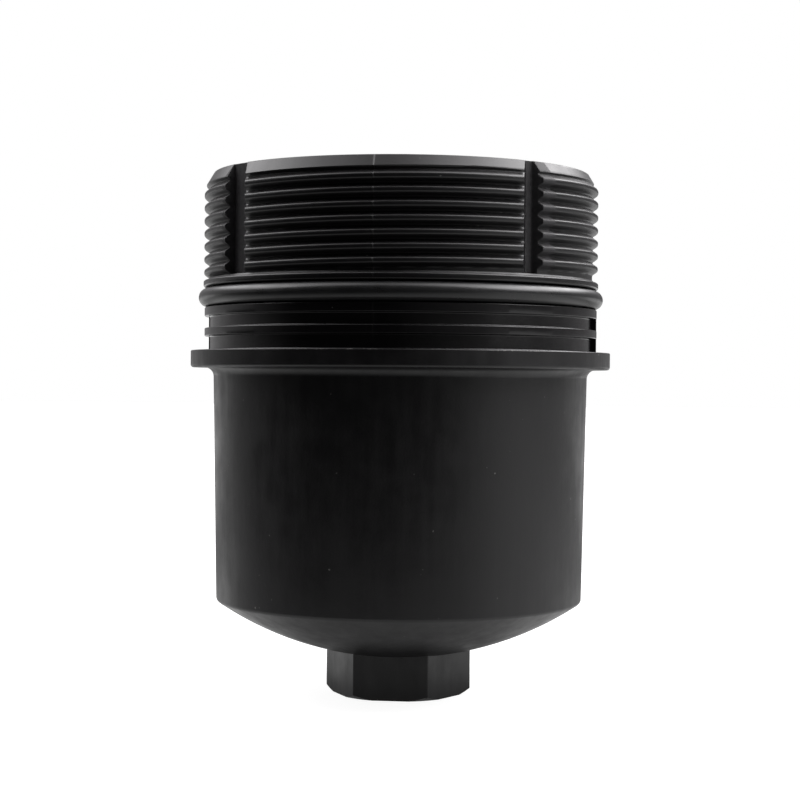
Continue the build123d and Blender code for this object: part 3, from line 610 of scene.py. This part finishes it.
def thread_rows(angles):
    """Rows of the threaded zone. Each follows the helix and is cut off level at both ends."""
    offsets = ridge_offsets()
    turns = int((BOWL_HEIGHT - COLLAR_TOP_Z) / THREAD_PITCH) + 5
    crest_start = THREAD_FIRST_Z - THREAD_PITCH * THREAD_FIRST_ANGLE / 360
    slots = slot_radius(angles)
    rows = [(COLLAR_RADIUS - THREAD_TUCK, COLLAR_TOP_Z), (COLLAR_RADIUS - THREAD_TUCK_SLOT, SLOT_BOTTOM_Z)]

    def surface(height):
        """Radius of the thread, its run-out cone, the lead-in and the slots."""
        along = (height - crest_start) / THREAD_PITCH - angles / 360
        turn = np.round(along)
        away = np.abs(along - turn) * THREAD_PITCH
        flank = (THREAD_BASE_HALF - away) / (THREAD_BASE_HALF - THREAD_CREST_HALF)
        depth = THREAD_CREST_RADIUS - THREAD_ROOT_RADIUS
        ridge = smooth_min(flank * depth, depth, THREAD_CREST_ROUND)
        wound = turn * 360 + angles
        ridge = np.where((wound < THREAD_START_ANGLE) | (wound > THREAD_END_ANGLE), -1.0, ridge)
        radius = THREAD_ROOT_RADIUS + smooth_max(ridge, 0.0, THREAD_ROOT_ROUND)
        slope = COLLAR_RADIUS - THREAD_ROOT_RADIUS
        cone = COLLAR_RADIUS - RUN_OUT_STEP - (height - COLLAR_TOP_Z) * slope
        radius = np.maximum(radius, cone)
        lead_in = LEAD_IN_RADIUS + (BOWL_HEIGHT - height) * LEAD_IN_SLOPE
        seam = flash(angles, radius)
        radius = smooth_min(radius + seam, lead_in + seam, LEAD_IN_ROUND)
        return smooth_min(radius, slots, SLOT_EDGE_ROUND)

    first = crest_start - THREAD_PITCH * 2
    for turn in range(turns):
        for offset in offsets:
            height = first + turn * THREAD_PITCH + offset + THREAD_PITCH * angles / 360
            height = np.clip(height, SLOT_BOTTOM_Z, BOWL_HEIGHT - RIM_EDGE_DROP)
            rows.append((surface(height), height))
    rows.append((rim_edge(slots), BOWL_HEIGHT))
    return rows, len(offsets)


def outer_shell():
    """Dome, knuckle, cup and flange."""
    dome = [(r, crown_height(r, CROWN_RADIUS), 0) for r in np.linspace(CROWN_START, CUP_RADIUS_LOW - 1, 14)]
    wall = [
        (CUP_RADIUS_LOW, crown_height(CUP_RADIUS_LOW, CROWN_RADIUS), KNUCKLE_RADIUS),
        (CUP_RADIUS_TOP, FLANGE_BOTTOM_Z, FLANGE_FILLET),
        (FLANGE_RADIUS, FLANGE_BOTTOM_Z, FLANGE_EDGE_ROUND),
        (FLANGE_RADIUS, FLANGE_TOP_Z, FLANGE_TOP_ROUND),
        (FLANGE_JOIN_RADIUS, FLANGE_TOP_Z, 0),
    ]
    return grid_mesh(rounded(dome + wall, 6), np.arange(0, 360, PLAIN_STEP))


def rib_shell(angles):
    """Ribs, gland and collar, with the flash of the parting line."""
    ribs = rounded([
        (FLANGE_JOIN_RADIUS, FLANGE_TOP_Z, 0),
        (GROOVE_RADIUS, FLANGE_TOP_Z, GROOVE_FOOT_ROUND),
        (GROOVE_RADIUS, RIB_LOW_BOTTOM_Z, GROOVE_ROUND),
        (LAND_RADIUS, RIB_LOW_BOTTOM_Z, LAND_ROUND),
        (LAND_RADIUS, RIB_LOW_TOP_Z, LAND_ROUND),
        (GROOVE_RADIUS, RIB_LOW_TOP_Z, GROOVE_ROUND),
        (GROOVE_RADIUS, RIB_HIGH_BOTTOM_Z, GROOVE_ROUND),
        (LAND_RADIUS, RIB_HIGH_BOTTOM_Z, LAND_ROUND),
        (LAND_RADIUS, RIB_HIGH_TOP_Z, LAND_ROUND),
        (GLAND_RADIUS, RIB_HIGH_TOP_Z, GLAND_ROUND),
        (GLAND_RADIUS, GLAND_TOP_Z, GLAND_ROUND),
        (COLLAR_RADIUS, GLAND_TOP_Z, COLLAR_ROUND),
        (COLLAR_RADIUS, COLLAR_TOP_Z, COLLAR_ROUND),
        (COLLAR_RADIUS - COLLAR_TOP_WIDTH, COLLAR_TOP_Z, 0),
    ])
    rows = []
    for r, z in ribs:
        in_gland = RIB_HIGH_TOP_Z - 0.1 < z < GLAND_TOP_Z + 0.1
        ridge = 0 if in_gland or z < FLANGE_TOP_Z + 0.5 else flash(angles, r) * FLASH_ON_RIBS
        rows.append((r + ridge, z))
    return grid_mesh(rows, angles)


def inner_shell():
    """Inner half of the rim, bore, dome floor, platform and socket."""
    bore = [
        (RIM_MIDDLE_RADIUS, BOWL_HEIGHT, 0),
        (BORE_RADIUS_TOP + BORE_CHAMFER, BOWL_HEIGHT, BORE_EDGE_ROUND),
        (BORE_RADIUS_TOP, BOWL_HEIGHT - BORE_CHAMFER, BORE_EDGE_ROUND),
        (BORE_RADIUS_LOW, crown_height(BORE_RADIUS_LOW, CROWN_RADIUS - WALL), KNUCKLE_RADIUS - WALL),
    ]
    floor = [(r, crown_height(r, CROWN_RADIUS - WALL), 0)
             for r in np.linspace(BORE_RADIUS_LOW - 1, PLATFORM_RADIUS, 12)]
    platform = [
        (PLATFORM_RADIUS, PLATFORM_Z, PLATFORM_ROUND),
        (SOCKET_RADIUS, PLATFORM_Z, SOCKET_EDGE_ROUND),
        (SOCKET_RADIUS, SOCKET_FLOOR_Z, SOCKET_FLOOR_ROUND),
        (NOWHERE, SOCKET_FLOOR_Z, 0),
    ]
    return grid_mesh(rounded(bore + floor + platform), np.arange(0, 360, PLAIN_STEP))


def build_bowl():
    upper = column_angles()
    threads, rows_per_turn = thread_rows(upper)
    rim = [(rim_edge(slot_radius(upper)), BOWL_HEIGHT), (RIM_MIDDLE_RADIUS, BOWL_HEIGHT)]
    shells = [outer_shell(), rib_shell(upper), grid_mesh(threads, upper, rows_per_turn),
              grid_mesh(rim, upper), inner_shell(), hexagon_shell(), web_shell(1), web_shell(-1)]
    for index in range(FLOOR_RIB_COUNT):
        shells.append(floor_rib_shell(index * 2 * pi / FLOOR_RIB_COUNT))
    bowl = make_piece("bowl_moulding", shells, "bowl_nylon", "bowl")
    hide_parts("housing_bowl")


def hexagon_shell():
    """Hexagon with rounded upright edges and a turned chamfer on its end."""
    corner = HEX_ACROSS_FLATS / sqrt(3)
    ring = []
    for index in range(6):
        centre_r = (HEX_ACROSS_FLATS / 2 - HEX_EDGE_ROUND) * 2 / sqrt(3)
        middle = radians(index * 60)
        for step in range(7):
            angle = middle + radians(-30 + step * 10)
            ring.append((centre_r * cos(middle) + HEX_EDGE_ROUND * cos(angle),
                         centre_r * sin(middle) + HEX_EDGE_ROUND * sin(angle)))
        here = ring[-1]
        ahead = radians(index * 60 + 60)
        there = (centre_r * cos(ahead) + HEX_EDGE_ROUND * cos(ahead - radians(30)),
                 centre_r * sin(ahead) + HEX_EDGE_ROUND * sin(ahead - radians(30)))
        for step in range(1, 12):
            share = step / 12
            ring.append((here[0] + (there[0] - here[0]) * share, here[1] + (there[1] - here[1]) * share))
    ring = np.array(ring)
    reach = np.hypot(ring[:, 0], ring[:, 1])
    angles = np.degrees(np.arctan2(ring[:, 1], ring[:, 0]))
    cone_start = corner - HEX_END_CHAMFER * HEX_END_SLOPE
    wall_bottom = np.maximum((reach - cone_start) / HEX_END_SLOPE, 0)
    end_edge = np.minimum(reach, cone_start)
    soft = HEX_END_ROUND
    rows = [
        (NOWHERE, 0.0),
        (cone_start - 6, 0.0),
        (end_edge - soft * 2, 0.0),
        (end_edge - soft * 0.3, soft * 0.08),
        (reach - soft * 0.5 * (wall_bottom < 0.05) - soft * 0.35, wall_bottom + soft * 0.12),
        (reach, wall_bottom + soft),
        (reach, crown_height(corner, CROWN_RADIUS) + HEX_SINK),
    ]
    return grid_mesh(rows, angles)


def web_shell(side):
    """Upright web across the two grooves on one side of the mould."""
    half = WEB_WIDTH / 2
    face = LAND_RADIUS - WEB_SINK
    upper_edge = [(face, half - WEB_ROUND), (face - WEB_ROUND, half), (GROOVE_RADIUS - 1, half)]
    outline = [(x, -y) for x, y in reversed(upper_edge)] + upper_edge
    points = []
    for z in (FLANGE_TOP_Z - 0.3, RIB_HIGH_BOTTOM_Z + 0.3):
        points += [(side * x, side * y, z) for x, y in outline]
    count = len(outline)
    faces = [(i, (i + 1) % count, (i + 1) % count + count, i + count) for i in range(count)]
    return points, faces


def floor_rib_shell(turn):
    """Low rib from the platform to the knuckle."""
    inner = PLATFORM_RADIUS - 1
    outer = BORE_RADIUS_LOW - 0.5
    half = FLOOR_RIB_THICKNESS / 2
    foot = -6
    right_edge = [(half - FLOOR_RIB_ROUND, 0), (half, -FLOOR_RIB_ROUND), (half, foot)]
    section = [(-side, drop) for side, drop in reversed(right_edge)] + right_edge
    points = []
    stations = 9
    for station in range(stations):
        share = station / (stations - 1)
        r = inner + (outer - inner) * share
        z = PLATFORM_Z + (FLOOR_RIB_TOP_Z - PLATFORM_Z) * share
        base = crown_height(max(r, PLATFORM_RADIUS), CROWN_RADIUS - WALL) - 0.5
        for side, drop in section:
            height = min(base, z - 0.4) if drop == foot else z + drop
            points.append((r * cos(turn) - side * sin(turn), r * sin(turn) + side * cos(turn), height))
    count = len(section)
    faces = []
    for station in range(stations - 1):
        for i in range(count - 1):
            a = station * count + i
            faces.append((a, a + count, a + count + 1, a + 1))
    return points, faces


build_bowl()


# ---------------------------------------------------------------- springs
def spring_piece(name, node, wire, turns):
    """Coil spring between two bodies."""
    low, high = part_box(node)
    radius = (high[0] - low[0]) / 2 / MM - wire / 2
    bottom, top = low[2] / MM, high[2] / MM
    pitch = (top - bottom - wire * 0.4) / turns
    steps_per_turn = 72
    steps = int(turns * steps_per_turn)
    sides = 18
    points = []
    for step in range(steps + 1):
        wound = turns * step / steps
        angle = 2 * pi * wound
        height = bottom + wire * 0.2 + pitch * wound
        for side in range(sides):
            around = 2 * pi * side / sides
            r = radius + wire / 2 * cos(around)
            z = min(max(height + wire / 2 * sin(around), bottom), top)
            points.append((r * cos(angle), r * sin(angle), z))
    faces = []
    for step in range(steps):
        for side in range(sides):
            ahead = (side + 1) % sides
            faces.append((step * sides + side, (step + 1) * sides + side,
                          (step + 1) * sides + ahead, step * sides + ahead))
    faces.append(tuple(range(sides)))
    faces.append(tuple(reversed(range(steps * sides, (steps + 1) * sides))))
    piece = make_piece(name, [(points, faces)], "spring_steel", None)
    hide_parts(node)
    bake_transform(piece)


spring_piece("valve_spring", "bypass_spring", wire=1.4, turns=5.5)
spring_piece("seat_spring", "element_spring", wire=2.2, turns=3.25)


# ---------------------------------------------------------------- floor, light and world
def split_rays(tree, others, camera, output):
    """One shader for what the camera sees and another for all other rays."""
    rays = tree.add("ShaderNodeLightPath")
    mix = tree.add("ShaderNodeMixShader")
    tree.link(rays.outputs["Is Camera Ray"], mix.inputs[0])
    tree.link(others.outputs[0], mix.inputs[1])
    tree.link(camera.outputs[0], mix.inputs[2])
    tree.link(mix.outputs[0], output.inputs[0])


def floor_glow(tree):
    """Glow of the paper in reflections: dimmer on the flag's side, behind and under the bowl."""
    place = tree.add("ShaderNodeTexCoord").outputs["Object"]
    flagward = tree.along(place, towards_flag)
    near_flag = tree.span(flagward, *FLAG_SHADE, FLOOR_GLOW, FLOOR_GLOW_FLAG)
    far_flag = tree.span(flagward, *FLAG_SHADE_FAR, 1.0, FLOOR_GLOW_FAR)
    frontward = tree.along(place, towards_front)
    behind = tree.math("MAXIMUM", tree.span(frontward, *BACK_STRIP_NEAR_EDGE, FLOOR_GLOW_BACK, 1.0),
                       tree.span(frontward, *BACK_STRIP_FAR_EDGE, 1.0, 0.0))
    distance = tree.add("ShaderNodeVectorMath", operation="LENGTH")
    tree.link(place, distance.inputs[0])
    under = tree.span(distance.outputs["Value"], *UNDER_EDGE, FLOOR_GLOW_UNDER, 1.0)
    return tree.product(near_flag, far_flag, behind, under)


def add_floor():
    """Pale sheet: white to the eye with a faint shadow, and dimmer in reflections."""
    mesh = bpy.data.meshes.new("floor")
    corners = [(-1, -1), (1, -1), (1, 1), (-1, 1)]
    mesh.from_pydata([(x * FLOOR_REACH, y * FLOOR_REACH, 0) for x, y in corners], [], [(0, 1, 2, 3)])
    material = bpy.data.materials.new("floor_paper")
    material.use_nodes = True
    material.node_tree.nodes.clear()
    tree = Nodes(material.node_tree)
    output = tree.add("ShaderNodeOutputMaterial")
    paper = tree.add("ShaderNodeBsdfPrincipled")
    paper.inputs["Base Color"].default_value = (0.3, 0.3, 0.3, 1)
    paper.inputs["Roughness"].default_value = 1.0
    paper.inputs["Specular IOR Level"].default_value = 0.0
    paper.inputs["Emission Color"].default_value = (1, 1, 1, 1)
    paper.inputs["Emission Strength"].default_value = PAPER_GLOW
    glow = tree.add("ShaderNodeEmission")
    tree.link(floor_glow(tree), glow.inputs["Strength"])
    split_rays(tree, glow, paper, output)
    mesh.materials.append(material)
    floor = bpy.data.objects.new("floor", mesh)
    bpy.context.scene.collection.objects.link(floor)


def room_glow(tree, direction):
    """Pale walls with the dark flag before them."""
    open_side = tree.span(tree.along(direction, towards_flag), cos(FLAG_EDGE), cos(FLAG_CORE), 1.0, 0.0)
    sideways = tree.along(direction, towards_right)
    wall = tree.span(sideways, *ROOM_LEFT_TO_RIGHT, ROOM_GLOW_LEFT, ROOM_GLOW_RIGHT)
    return tree.math("ADD", tree.product(open_side, wall), FLAG_GLOW)


def box_glow(tree, direction):
    """Soft box overhead and to the back, dimmer in its middle and brightest at its two ends."""
    up = tree.math("MAXIMUM", tree.separate(direction)[2], 0.01)
    forward = tree.math("DIVIDE", tree.along(direction, towards_front), up)
    sideways = tree.math("DIVIDE", tree.along(direction, towards_right), up)
    from_middle = tree.math("ABSOLUTE", tree.math("ADD", sideways, BOX_OFFSET))
    low_edge = tree.span(from_middle, *BOX_LOW_EDGE_CHANGE, BOX_LOW_EDGE, BOX_LOW_EDGE_ENDS)
    above = tree.math("DIVIDE", tree.math("SUBTRACT", up, low_edge), BOX_LOW_EDGE_WIDTH)
    above = tree.math("MINIMUM", tree.math("MAXIMUM", above, 0.0), 1.0)
    short_of_front = tree.span(forward, *BOX_FRONT_EDGE, 1.0, 0.0)
    level = tree.span(sideways, *BOX_LEFT_TO_RIGHT, BOX_GLOW_LEFT, BOX_GLOW_RIGHT)
    middle = tree.span(from_middle, *BOX_MIDDLE_EDGE, BOX_GLOW_MIDDLE, 1.0)
    ends = tree.span(from_middle, *BOX_ENDS_EDGE, 1.0, BOX_GLOW_ENDS)
    return tree.product(short_of_front, above, tree.product(level, middle, ends))


def add_world():
    """White to the eye; in reflections a room with a dark flag and a soft box overhead."""
    world = bpy.data.worlds.new("studio")
    bpy.context.scene.world = world
    world.use_nodes = True
    world.node_tree.nodes.clear()
    tree = Nodes(world.node_tree)
    output = tree.add("ShaderNodeOutputWorld")
    direction = tree.add("ShaderNodeTexCoord").outputs["Generated"]
    white = tree.add("ShaderNodeBackground")
    white.inputs["Color"].default_value = (1, 1, 1, 1)
    white.inputs["Strength"].default_value = 1.0
    room = tree.add("ShaderNodeBackground")
    room.inputs["Color"].default_value = (1, 0.985, 1, 1)
    glow = tree.math("ADD", room_glow(tree, direction), box_glow(tree, direction))
    tree.link(glow, room.inputs["Strength"])
    split_rays(tree, room, white, output)


add_floor()
add_world()
bpy.context.scene.view_settings.view_transform = "Standard"
